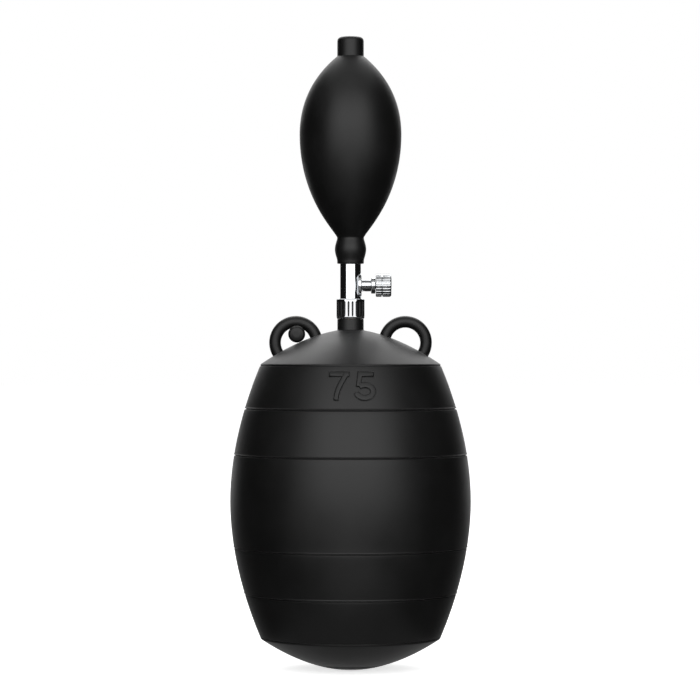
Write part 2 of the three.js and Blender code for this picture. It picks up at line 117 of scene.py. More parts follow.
def rounded(corners: Sequence[Corner], closed: bool = True, steps: int = 4) -> list[Vector]:
    """Rounds the corners of an outline.

    Args:
        corners: the outline's corners in order.
        closed: whether the last corner joins the first.
        steps: segments of each rounding.

    Returns:
        The outline's points in millimetres.
    """
    points: list[Vector] = []
    for index, corner in enumerate(corners):
        here = corner.place()
        at_end = not closed and index in (0, len(corners) - 1)
        if corner.rounding <= 0 or at_end:
            points.append(here)
            continue
        back = corners[index - 1].place() - here
        ahead = corners[(index + 1) % len(corners)].place() - here
        half = back.angle(ahead) / 2
        reach = min(corner.rounding / math.tan(half), EDGE_SHARE * back.length, EDGE_SHARE * ahead.length)
        bisector = (back.normalized() + ahead.normalized()).normalized()
        centre = here + bisector * (reach / math.cos(half))
        start = here + back.normalized() * reach - centre
        end = here + ahead.normalized() * reach - centre
        spokes = [start.slerp(end, step / steps).normalized() for step in range(steps + 1)]
        points += [centre + spoke * start.length for spoke in spokes]
    return points


def plain(points: Iterable[tuple[float, float]]) -> list[Corner]:
    """Makes corners without rounding from (radius, height) pairs."""
    return [Corner(radius, height) for radius, height in points]


def bezier(start: Corner, first: Corner, second: Corner, end: Corner, count: int) -> list[Corner]:
    """Gives the corners along a Bezier curve.

    Args:
        start: the curve's start.
        first: the start's handle.
        second: the end's handle.
        end: the curve's end.
        count: how many corners, with both ends.

    Returns:
        The corners, without rounding.
    """
    knots = [Vector((corner.radius, corner.height, 0)) for corner in (start, first, second, end)]
    return plain((p.x, p.y) for p in interpolate_bezier(*knots, count))


def turned(corners: Sequence[Corner], segments: int, axis: Axis = Axis.UP, centre: Vector = Vector()) -> BMesh:
    """Spins an outline into a closed solid.

    Args:
        corners: the outline, from its low inside corner up the outside; its ends may lie on the axis.
        segments: facets round the axis.
        axis: where the outline's height points.
        centre: where the outline's zero lies, in millimetres.

    Returns:
        The solid, in millimetres.
    """
    closed = corners[0].radius > 0 or corners[-1].radius > 0
    shape = bmesh.new()
    verts = [shape.verts.new((p.x, 0, p.y)) for p in rounded(corners, closed)]
    edges = [shape.edges.new(pair) for pair in zip(verts, verts[1:])]
    if closed:
        edges.append(shape.edges.new((verts[-1], verts[0])))
    bmesh.ops.spin(shape, geom=verts + edges, cent=(0, 0, 0), axis=(0, 0, 1), angle=FULL_TURN,
                   steps=segments, use_merge=True, use_duplicate=False)
    bmesh.ops.remove_doubles(shape, verts=shape.verts, dist=MERGE_GAP)
    bmesh.ops.dissolve_degenerate(shape, edges=shape.edges, dist=SHORTEST_EDGE)
    bmesh.ops.recalc_face_normals(shape, faces=shape.faces)
    bmesh.ops.transform(shape, matrix=Matrix.Translation(centre) @ axis.turn(), verts=shape.verts)
    return shape


def scratch_object(shape: BMesh) -> bpy.types.Object:
    """Puts a shape in a short-lived object.

    Args:
        shape: the shape, which is freed.

    Returns:
        The object.
    """
    mesh = bpy.data.meshes.new("scratch")
    shape.to_mesh(mesh)
    shape.free()
    made = bpy.data.objects.new("scratch", mesh)
    bpy.context.scene.collection.objects.link(made)
    return made


def joined(base: BMesh, others: Iterable[BMesh], join: Join) -> BMesh:
    """Adds shapes to a shape, or cuts them out of it.

    Args:
        base: the shape that is kept.
        others: the shapes that are added or cut out.
        join: which of the two.

    Returns:
        The new shape; the ones given are freed.
    """
    kept = scratch_object(base)
    tools = [scratch_object(other) for other in others]
    for tool in tools:
        change = kept.modifiers.new("join", "BOOLEAN")
        change.object = tool
        change.operation = join.value
        change.solver = "EXACT"
    view = bpy.context.evaluated_depsgraph_get()
    result = bmesh.new()
    result.from_mesh(kept.evaluated_get(view).to_mesh())
    for made in (kept, *tools):
        mesh = made.data
        bpy.data.objects.remove(made)
        bpy.data.meshes.remove(mesh)
    bmesh.ops.remove_doubles(result, verts=result.verts, dist=MERGE_GAP)
    return result


def linear(colour: str) -> tuple[float, float, float, float]:
    """Turns an sRGB hex colour into Blender's linear one."""
    levels = [int(colour[i:i + 2], 16) / 255 for i in (1, 3, 5)]
    return (*[v / 12.92 if v <= 0.04045 else ((v + 0.055) / 1.055) ** 2.4 for v in levels], 1.0)


def add_node(tree: bpy.types.NodeTree, kind: str, settings: dict | None = None, values: dict | None = None,
             links: dict | None = None) -> bpy.types.Node:
    """Adds a node.

    Args:
        tree: the material's or world's node tree.
        kind: the node's type.
        settings: the node's own options.
        values: what its inputs are set to, by name or number.
        links: the outputs that feed its inputs, by the input's name or number.

    Returns:
        The new node.
    """
    node = tree.nodes.new(kind)
    for name, value in (settings or {}).items():
        setattr(node, name, value)
    for name, value in (values or {}).items():
        node.inputs[name].default_value = value
    for name, output in (links or {}).items():
        tree.links.new(output, node.inputs[name])
    return node


@dataclass(frozen=True)
class Finish:
    """What a surface is made of: its colour, its gloss and the grain left by how it was made."""

    name: str
    colour: str
    second_colour: str
    roughness: float
    roughness_spread: float
    metallic: float
    patch_mm: float
    grain_mm: float
    grain_height_mm: float
    lines: Axis | None = None
    ior: float = 1.5
    sheen: float = 0.0

    def material(self) -> bpy.types.Material:
        """Gives the finish's material, made at its first use."""
        known = bpy.data.materials.get(self.name)
        return known or self._make()

    def _grain(self, tree: bpy.types.NodeTree, place: bpy.types.NodeSocket) -> bpy.types.NodeSocket:
        """Adds the grain: specks, or lines round the piece where it was turned on a lathe.

        Args:
            tree: the material's node tree.
            place: the output that holds the object coordinates.

        Returns:
            The output that holds the grain's height.
        """
        scale = 1 / (self.grain_mm * MM)
        if self.lines is None:
            noise = add_node(tree, "ShaderNodeTexNoise", values={"Scale": scale, "Detail": 3.0, "Roughness": 0.6},
                             links={"Vector": place})
            return noise.outputs["Fac"]
        parts = add_node(tree, "ShaderNodeSeparateXYZ", links={"Vector": place})
        along = {Axis.UP: "Z", Axis.SIDE: "X", Axis.FRONT: "Y"}[self.lines]
        noise = add_node(tree, "ShaderNodeTexNoise", {"noise_dimensions": "1D"},
                         {"Scale": scale, "Detail": 3.0, "Roughness": 0.6}, {"W": parts.outputs[along]})
        return noise.outputs["Fac"]

    def _make(self) -> bpy.types.Material:
        """Builds the material's nodes.

        Returns:
            The new material.
        """
        material = bpy.data.materials.new(self.name)
        material.use_nodes = True
        tree = material.node_tree
        tree.nodes.clear()
        place = add_node(tree, "ShaderNodeTexCoord").outputs["Object"]
        patches = add_node(tree, "ShaderNodeTexNoise", values={"Scale": 1 / (self.patch_mm * MM), "Detail": 4.0},
                           links={"Vector": place}).outputs["Fac"]
        share = add_node(tree, "ShaderNodeMapRange", values={"From Min": 0.35, "From Max": 0.7},
                         links={"Value": patches}).outputs["Result"]
        colour = add_node(tree, "ShaderNodeMix", {"data_type": "RGBA"},
                          {6: linear(self.colour), 7: linear(self.second_colour)}, {0: share}).outputs[2]
        gloss = add_node(tree, "ShaderNodeMapRange",
                         values={"To Min": self.roughness - self.roughness_spread,
                                 "To Max": self.roughness + self.roughness_spread},
                         links={"Value": share}).outputs["Result"]
        bump = add_node(tree, "ShaderNodeBump", values={"Strength": 1.0, "Distance": self.grain_height_mm * MM},
                        links={"Height": self._grain(tree, place)}).outputs["Normal"]
        shader = add_node(tree, "ShaderNodeBsdfPrincipled",
                          values={"Metallic": self.metallic, "IOR": self.ior, "Sheen Weight": self.sheen,
                                  "Sheen Roughness": 0.25},
                          links={"Base Color": colour, "Roughness": gloss, "Normal": bump})
        add_node(tree, "ShaderNodeOutputMaterial", links={"Surface": shader.outputs["BSDF"]})
        return material


# Natural rubber cured in a polished mould: near black and satin, with a faint bloom. The mould's grain of
# about 0.1 mm is drawn at 0.9 mm, so that it shows.
MOULDED_RUBBER = Finish(
    "moulded_rubber", "#040404", "#060606", roughness=0.44, roughness_spread=0.03, metallic=0.0,
    patch_mm=14, grain_mm=0.9, grain_height_mm=0.010, ior=1.36, sheen=0.1)
# Dipped rubber of the hand bulb: smoother than the moulding, with a soft wide highlight.
DIPPED_RUBBER = Finish(
    "dipped_rubber", "#040404", "#060606", roughness=0.44, roughness_spread=0.03, metallic=0.0,
    patch_mm=9, grain_mm=1.1, grain_height_mm=0.006, ior=1.36, sheen=0.06)
# Nitrile of the seals: matt black.
SEAL_RUBBER = Finish(
    "seal_rubber", "#121212", "#1a1a1a", roughness=0.6, roughness_spread=0.05, metallic=0.0,
    patch_mm=3, grain_mm=0.3, grain_height_mm=0.006, ior=1.52)
# Chrome plate over turned and polished brass: a mirror with the last trace of the lathe's lines, which are
# drawn at 0.35 mm, coarser than a tool leaves them, so that they show.
CHROME_UP = Finish(
    "chrome_plate", "#dfe1e3", "#d8dadc", roughness=0.07, roughness_spread=0.02, metallic=1.0,
    patch_mm=4, grain_mm=0.35, grain_height_mm=0.0008, lines=Axis.UP)
# The same plate on the small pieces of the side valve, which are polished less: a softer mirror.
CHROME_SIDE = Finish(
    "chrome_plate_valve", "#dfe1e3", "#d8dadc", roughness=0.15, roughness_spread=0.02, metallic=1.0,
    patch_mm=4, grain_mm=0.35, grain_height_mm=0.0008, lines=Axis.SIDE)
# Painted shade in the floor and walls of the nut's slots: a dull, nearly black non-metal that stands in for the
# shade inside them.
SLOT_PAINTED_SHADE = Finish(
    "slot_painted_shade", "#161616", "#101010", roughness=0.7, roughness_spread=0.05, metallic=0.0,
    patch_mm=2, grain_mm=0.2, grain_height_mm=0.002)
# Turned brass, left bare inside the valves: warm yellow with clear tool lines.
TURNED_BRASS = Finish(
    "turned_brass", "#c3a05c", "#b08c4a", roughness=0.28, roughness_spread=0.06, metallic=1.0,
    patch_mm=2, grain_mm=0.2, grain_height_mm=0.004, lines=Axis.UP)
# Stainless steel of the balls and screens: ground and bright.
GROUND_STEEL = Finish(
    "ground_steel", "#c3c6c8", "#b4b7b9", roughness=0.18, roughness_spread=0.04, metallic=1.0,
    patch_mm=1.5, grain_mm=0.15, grain_height_mm=0.001)
# Nylon of the slip washer: off-white and slightly waxy.
MOULDED_NYLON = Finish(
    "moulded_nylon", "#e6e2d5", "#dcd7c8", roughness=0.45, roughness_spread=0.05, metallic=0.0,
    patch_mm=3, grain_mm=0.3, grain_height_mm=0.003, ior=1.53)


@dataclass(frozen=True)
class Role:
    """Where a piece belongs: its name, its body, its slot and the CAD nodes that it stands for."""

    name: str
    body: str
    slot: str
    nodes: tuple[str, ...]


def add_piece(role: Role, shape: BMesh, *finishes: Finish) -> bpy.types.Object:
    """Turns a shape in millimetres into a piece of the object.

    Args:
        role: where the piece belongs.
        shape: the finished shape, which is freed.
        finishes: what its faces are made of, or the shade painted on them, by their material index.

    Returns:
        The new piece.
    """
    bmesh.ops.scale(shape, vec=(MM, MM, MM), verts=shape.verts)
    for face in shape.faces:
        face.smooth = True
    for edge in shape.edges:
        edge.smooth = edge.calc_face_angle(0) < SHARP_ANGLE
    mesh = bpy.data.meshes.new(role.name)
    shape.to_mesh(mesh)
    shape.free()
    for finish in finishes:
        mesh.materials.append(finish.material())
    made = bpy.data.objects.new(role.name, mesh)
    bpy.context.scene.collection.objects.link(made)
    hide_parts(*role.nodes)
    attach(made, role.body)
    log.info("%s: %d faces, rides on %s", role.name, len(mesh.polygons), role.body)
    return made


@dataclass
class Bladder:
    """The hollow rubber body, one moulding with its collar, its two lifting eyes and its raised size."""

    radius: float = 36.1
    end_radius: float = 26.9
    half_height: float = 41.1
    crown: float = 1.9
    groove_heights: tuple[float, ...] = (-27.7, -13.85, 13.85, 27.7)
    groove_width: float = 0.5
    groove_depth: float = 0.45
    lip: float = 0.22
    lip_width: float = 0.3
    edge_rounding: float = 0.25
    edge_line: float = 0.55
    edge_line_width: float = 0.3
    edge_line_depth: float = 0.22
    top_rise: float = 10.5
    top_power: float = 1.72
    bottom_rise: float = 9.5
    bottom_power: float = 1.88
    wall: float = 4.0
    rim_wall: float = 3.0
    collar_radius: float = 3.95
    collar_height: float = 3.0
    neck_bore: float = 2.55
    flange_room: float = 5.3
    eye_inset: float = 10.5
    eye_rise: float = 0.4
    eye_radius: float = 6.25
    eye_cord: float = 1.75
    groove_rounding: float = 0.1
    line_rounding: float = 0.04
    collar_foot_rounding: float = 0.35
    collar_rounding: float = 0.2
    bore_overrun: float = 1.0
    segments: int = 160
    dome_steps: int = 24
    side_steps: int = 10
    cavity_segments: int = 64
    cavity_dome_steps: int = 6
    cavity_side_steps: int = 10
    eye_segments: int = 72
    eye_cord_segments: int = 28

    def side_at(self, height: float) -> float:
        """Gives the barrel's radius at a height."""
        return self.radius - (self.radius - self.end_radius) * abs(height / self.half_height) ** self.crown

    def top_at(self, radius: float) -> float:
        """Gives the top dome's height at a radius."""
        return self.half_height + self.top_rise * (1 - (radius / self.end_radius) ** self.top_power)

    def bottom_at(self, radius: float) -> float:
        """Gives the bottom dome's height at a radius."""
        return -self.half_height - self.bottom_rise * (1 - (radius / self.end_radius) ** self.bottom_power)

    def collar_top(self) -> float:
        """Gives the height of the collar's top."""
        return self.half_height + self.top_rise + self.collar_height

    def _groove(self, height: float) -> list[Corner]:
        """Gives the corners of a groove, with the soft lip above it.

        Args:
            height: the middle of the groove.

        Returns:
            The corners, from the lowest up.
        """
        half = self.groove_width / 2
        bottom = self.side_at(height) - self.groove_depth
        lip_top = height + half + self.lip_width
        return [
            Corner(self.side_at(height - half), height - half, 0.12),
            Corner(bottom, height - half / 2, self.groove_rounding),
            Corner(bottom, height + half / 2, self.groove_rounding),
            Corner(self.side_at(height + half) + self.lip, height + half, 0.15),
            Corner(self.side_at(lip_top), lip_top, self.groove_rounding),
        ]

    def _edge_line(self, height: float) -> list[Corner]:
        """Gives the corners of the fine line beside one of the barrel's edges.

        Args:
            height: the middle of the line.

        Returns:
            The corners, from the lowest up.
        """
        half = self.edge_line_width / 2
        bottom = self.side_at(height) - self.edge_line_depth
        return [
            Corner(self.side_at(height - half), height - half, self.line_rounding),
            Corner(bottom, height - half / 2, self.line_rounding),
            Corner(bottom, height + half / 2, self.line_rounding),
            Corner(self.side_at(height + half), height + half, self.line_rounding),
        ]

    def _side(self) -> list[Corner]:
        """Gives the barrel's outline between its two edges, with its grooves and edge lines.

        Returns:
            The corners, from the lowest up.
        """
        ends = self.half_height - self.edge_line
        stops = [-ends, *self.groove_heights, ends]
        corners = self._edge_line(-ends)
        for low, high in zip(stops, stops[1:]):
            if low > -ends:
                corners += self._groove(low)
            for step in range(1, self.side_steps):
                height = low + (high - low) * step / self.side_steps
                if height > low + self.groove_width + self.lip_width:
                    corners.append(Corner(self.side_at(height), height))
        return corners + self._edge_line(ends)

    def _outside(self) -> BMesh:
        """Builds the body's outer form.

        Returns:
            The form, filled inside.
        """
        rim = self.end_radius
        steps = self.dome_steps
        bottom = [rim * step / steps for step in range(steps)]
        top = [rim - (rim - self.collar_radius) * step / steps for step in range(1, steps)]
        foot = self.top_at(self.collar_radius)
        return turned([
            *plain((r, self.bottom_at(r)) for r in bottom),
            Corner(rim, -self.half_height, self.edge_rounding),
            *self._side(),
            Corner(rim, self.half_height, self.edge_rounding),
            *plain((r, self.top_at(r)) for r in top),
            Corner(self.collar_radius, foot, self.collar_foot_rounding),
            Corner(self.collar_radius, self.collar_top(), self.collar_rounding),
            Corner(0, self.collar_top()),
        ], self.segments)

    def _inside(self) -> BMesh:
        """Builds the cavity with the bore of the neck.

        Returns:
            The form that is cut out of the body.
        """
        corner = self.end_radius - self.rim_wall
        steps = self.cavity_dome_steps
        floor = [corner * step / steps for step in range(steps + 1)]
        reach = self.top_at(corner) - self.wall
        count = self.cavity_side_steps
        side = [-reach + 2 * reach * step / count for step in range(1, count)]
        ceiling = [corner + (self.flange_room - corner) * step / steps for step in range(steps + 1)]
        seat = self.top_at(self.flange_room) - self.wall
        over = self.collar_top() + self.bore_overrun
        return turned([
            *plain((r, self.bottom_at(r) + self.wall) for r in floor),
            *plain((self.side_at(z) - self.wall, z) for z in side),
            *plain((r, self.top_at(r) - self.wall) for r in ceiling),
            *plain([(self.neck_bore, seat), (self.neck_bore, over), (0, over)]),
        ], self.cavity_segments)

    def eye_centre(self, side: int) -> Vector:
        """Gives the centre of the eye on one side, -1 or 1."""
        offset = self.end_radius - self.eye_inset
        return Vector((side * offset, 0, self.top_at(offset) + self.eye_rise))

    def _eye(self, side: int) -> BMesh:
        """Builds one lifting eye.

        Args:
            side: -1 for the left one, 1 for the right one.

        Returns:
            The whole ring, which is then joined to the body.
        """
        count = self.eye_cord_segments
        cord = [(self.eye_radius + self.eye_cord * math.cos(a), self.eye_cord * math.sin(a))
                for a in (FULL_TURN * step / count for step in range(count))]
        return turned(plain(cord), self.eye_segments, Axis.FRONT, self.eye_centre(side))

    def build(self) -> None:
        """Builds and dresses the bladder."""
        mark = SizeMark(self)
        shape = joined(self._outside(), [self._eye(-1), self._eye(1), *mark.strokes()], Join.ADD)
        shape = joined(shape, [self._inside()], Join.CUT)
        add_piece(Role("bladder_moulding", "plug", "bladder_rubber", ("bladder",)), shape, MOULDED_RUBBER)


@dataclass
class SizeMark:
    """The plain number for the pipe's bore, raised on the front of the barrel in rounded strokes."""

    bladder: Bladder
    stroke: float = 1.54
    relief: float = 0.7
    edge: float = 0.4
    edge_segments: int = 3
    root: float = 0.6
    mitre_limit: float = 0.5
    bar_height: float = 38.35
    foot_height: float = 30.75
    seven_left: float = -6.24
    seven_right: float = -0.27
    seven_foot: float = -4.2
    seven_start: float = 0.6
    seven_knee: tuple[float, float] = (2.2, 2.3)
    seven_drop: float = 4.6
    seven_steps: int = 16
    five_bar: tuple[float, float] = (2.67, 6.69)
    five_slant_foot: tuple[float, float] = (2.28, 34.7)
    bowl_centre: tuple[float, float] = (4.08, 33.38)
    bowl_radii: tuple[float, float] = (2.42, 1.87)
    bowl_start: float = 132.0
    bowl_turn: float = 302.0
    bowl_steps: int = 40

    def _stroke(self, path: Sequence[Vector]) -> BMesh:
        """Builds one flat stroke along a path and wraps it round the barrel.

        Args:
            path: the middle of the stroke, as (across, height) points.

        Returns:
            The stroke, standing on the barrel.
        """
        shape = bmesh.new()
        last: list[bmesh.types.BMVert] = []
        for index, point in enumerate(path):
            back = (point - path[index - 1]).normalized() if index else (path[1] - point).normalized()
            ahead = (path[index + 1] - point).normalized() if index + 1 < len(path) else back
            normal = (back + ahead).normalized().orthogonal()
            half = normal * (self.stroke / 2 / max(normal.dot(back.orthogonal()), self.mitre_limit))
            ends = [shape.verts.new((p.x, 0, p.y)) for p in (point - half, point + half)]
            if last:
                shape.faces.new((last[0], last[1], ends[1], ends[0]))
            last = ends
        made = bmesh.ops.extrude_face_region(shape, geom=shape.faces[:])
        top = [g for g in made["geom"] if isinstance(g, bmesh.types.BMVert)]
        bmesh.ops.translate(shape, vec=(0, -self.relief - self.root, 0), verts=top)
        bmesh.ops.recalc_face_normals(shape, faces=shape.faces)
        rim = [e for e in shape.edges if all(v in top for v in e.verts) and e.calc_face_angle(0) > SHARP_ANGLE]
        bmesh.ops.bevel(shape, geom=rim, offset=self.edge, offset_type="OFFSET", affect="EDGES",
                        segments=self.edge_segments, profile=0.5, material=-1, clamp_overlap=True)
        for vert in shape.verts:
            radius = self.bladder.side_at(vert.co.z)
            angle = math.asin(vert.co.x / radius)
            out = radius - self.root - vert.co.y
            vert.co = (out * math.sin(angle), -out * math.cos(angle), vert.co.z)
        return shape

    def strokes(self) -> list[BMesh]:
        """Builds the strokes of the two digits.

        Returns:
            The strokes, wrapped round the barrel.
        """
        half = self.stroke / 2
        top = self.bar_height
        stem = interpolate_bezier(
            Vector((self.seven_right - half, top + half * self.seven_start, 0)),
            Vector((self.seven_right - self.seven_knee[0], top - self.seven_knee[1], 0)),
            Vector((self.seven_foot, top - self.seven_drop, 0)),
            Vector((self.seven_foot, self.foot_height, 0)), self.seven_steps)
        sweep = [math.radians(self.bowl_start - self.bowl_turn * step / self.bowl_steps)
                 for step in range(self.bowl_steps + 1)]
        bowl = [Vector((self.bowl_centre[0] + self.bowl_radii[0] * math.cos(a),
                        self.bowl_centre[1] + self.bowl_radii[1] * math.sin(a))) for a in sweep]
        return [
            self._stroke([Vector((self.seven_left, top)), Vector((self.seven_right, top))]),
            self._stroke([p.to_2d() for p in stem]),
            self._stroke([Vector((self.five_bar[1], top)), Vector((self.five_bar[0], top)),
                          Vector(self.five_slant_foot)]),
            self._stroke(bowl),
        ]


@dataclass
class EyePeg:
    """The headed rubber peg through the left eye."""

    place: Vector
    head_radius: float = 2.55
    head_length: float = 1.9
    shank_radius: float = 1.65
    tail_radius: float = 2.1
    tail_length: float = 1.5
    front: float = 2.05

    def build(self) -> None:
        """Builds and dresses the peg."""
        low, high = -self.front - self.tail_length, self.front + self.head_length
        shape = turned([
            Corner(0, low),
            Corner(self.shank_radius, low, 0.3),
            Corner(self.tail_radius, -self.front - 0.3 * self.tail_length, 0.25),
            Corner(self.tail_radius, -self.front, 0.1),
            Corner(self.shank_radius, -self.front, 0.1),
            Corner(self.shank_radius, self.front, 0.1),
            Corner(self.head_radius, self.front, 0.15),
            Corner(self.head_radius, self.front + 0.45 * self.head_length, 0.5),
            Corner(0.8 * self.head_radius, self.front + 0.85 * self.head_length, 0.6),
            Corner(0.4 * self.head_radius, high, 1.5),
            Corner(0, high),
        ], 48, Axis.FRONT, self.place)
        add_piece(Role("eye_peg_moulding", "plug", "bladder_rubber", ("eye_peg",)), shape, MOULDED_RUBBER)


@dataclass
class CouplingNut:
    """The knurled ring that clamps the stem to the bladder's neck."""

    bottom: float = 54.65
    top: float = 60.61
    lip_bottom: float = 60.05
    bore: float = 3.65
    mouth: float = 3.15
    radius: float = 4.22
    chamfer: float = 0.2
    slots: int = 22
    slot_width: float = 0.66
    slot_depth: float = 0.35
    slot_margin: float = 0.7
    slot_end_segments: int = 16
    facets_per_slot: int = 8
    wall_margin: float = 0.05

    def _cutters(self) -> BMesh:
        """Builds the round-ended cutters of the knurl, one for each slot.

        Returns:
            All the cutters as one shape.
        """
        shape = bmesh.new()
        end = self.slot_width / 2
        bmesh.ops.create_cone(shape, cap_ends=True, segments=self.slot_end_segments, radius1=end, radius2=end,
                              depth=2 * self.slot_depth)
        half = (self.top - self.bottom) / 2 - self.slot_margin - end
        for vert in shape.verts:
            vert.co.y += math.copysign(half, vert.co.y)
        stand = Matrix.Rotation(math.radians(90), 4, "X")
        front = Matrix.Translation((0, -self.radius, (self.top + self.bottom) / 2))
        bmesh.ops.transform(shape, matrix=front @ stand, verts=shape.verts)
        step = FULL_TURN / self.slots
        bmesh.ops.rotate(shape, cent=(0, 0, 0), matrix=Matrix.Rotation(step / 2, 3, "Z"), verts=shape.verts)
        bmesh.ops.spin(shape, geom=shape.verts[:] + shape.edges[:] + shape.faces[:], cent=(0, 0, 0),
                       axis=(0, 0, 1), angle=FULL_TURN - step, steps=self.slots - 1, use_duplicate=True)
        return shape

    def build(self) -> None:
        """Builds and dresses the nut."""
        outer = self.radius - self.chamfer
        shape = turned([
            Corner(self.bore, self.bottom, 0.06),
            Corner(outer, self.bottom, 0.08),
            Corner(self.radius, self.bottom + 3 * self.chamfer, 0.2),
            Corner(self.radius, self.top - self.chamfer, 0.08),
            Corner(outer, self.top, 0.08),
            Corner(self.mouth, self.top, 0.05),
            Corner(self.mouth, self.lip_bottom, 0.05),
            Corner(self.bore, self.lip_bottom, 0.05),
        ], self.facets_per_slot * self.slots)
        shape = joined(shape, [self._cutters()], Join.CUT)
        low, high = self.bottom + self.slot_margin, self.top - self.slot_margin
        # Faces inside the slots get the painted shade of the slots; the rest keep the chrome.
        for face in shape.faces:
            place = face.calc_center_median()
            reach = place.to_2d().length
            takes_slot_shade = self.bore + self.wall_margin < reach < self.radius - self.wall_margin
            face.material_index = int(takes_slot_shade and low < place.z < high)
        add_piece(Role("coupling_nut_knurled", "nut", "chrome", ("coupling_nut",)), shape, CHROME_UP, SLOT_PAINTED_SHADE)


@dataclass
class Stem:
    """The chrome tube between the nut and the bulb, with a flat for the bleed valve."""

    low: float = 58.85
    foot_top: float = 59.65
    shoulder: float = 71.135
    top: float = 78.64
    pocket_floor: float = 72.435
    bore: float = 1.6
    foot_radius: float = 3.5
    radius: float = 3.1
    spigot: float = 2.5
    pocket: float = 2.0
    barb: float = 0.3
    bleed_height: float = 64.685
    flat: float = 2.25
    face_radius: float = 3.65
    hole_radius: float = 1.55
    first_barb: float = 1.5
    barb_lead: float = 0.5
    segments: int = 144
    flat_segments: int = 96
    hole_segments: int = 48

    def build(self) -> None:
        """Builds and dresses the stem."""
        pitch = (self.top - self.barb_lead - self.shoulder - self.first_barb) / 2
        first = self.shoulder + self.first_barb
        barbs = [corner for z in (first, first + pitch) for corner in (
            Corner(self.spigot + self.barb, z + 0.1 * pitch, 0.05), Corner(self.spigot, z + 0.9 * pitch))]
        shape = turned([
            Corner(self.bore, self.low, 0.05),
            Corner(self.foot_radius, self.low, 0.1),
            Corner(self.foot_radius, self.foot_top, 0.1),
            Corner(self.radius, self.foot_top, 0.05),
            Corner(self.radius, self.shoulder, 0.12),
            Corner(self.spigot, self.shoulder, 0.05),
            *barbs,
            Corner(self.spigot, self.top, 0.1),
            Corner(self.pocket, self.top, 0.05),
            Corner(self.pocket, self.pocket_floor, 0.05),
            Corner(self.bore, self.pocket_floor, 0.05),
        ], self.segments)
        reach = self.flat + self.radius
        face = turned(plain([(0, self.flat), (self.face_radius, self.flat), (self.face_radius, reach), (0, reach)]),
                      self.flat_segments, Axis.SIDE, Vector((0, 0, self.bleed_height)))
        hole = turned(plain([(0, 0), (self.hole_radius, 0), (self.hole_radius, reach), (0, reach)]),
                      self.hole_segments, Axis.SIDE, Vector((0, 0, self.bleed_height)))
        shape = joined(shape, [face, hole], Join.CUT)
        add_piece(Role("stem_tube", "plug", "chrome", ("valve_stem",)), shape, CHROME_UP)


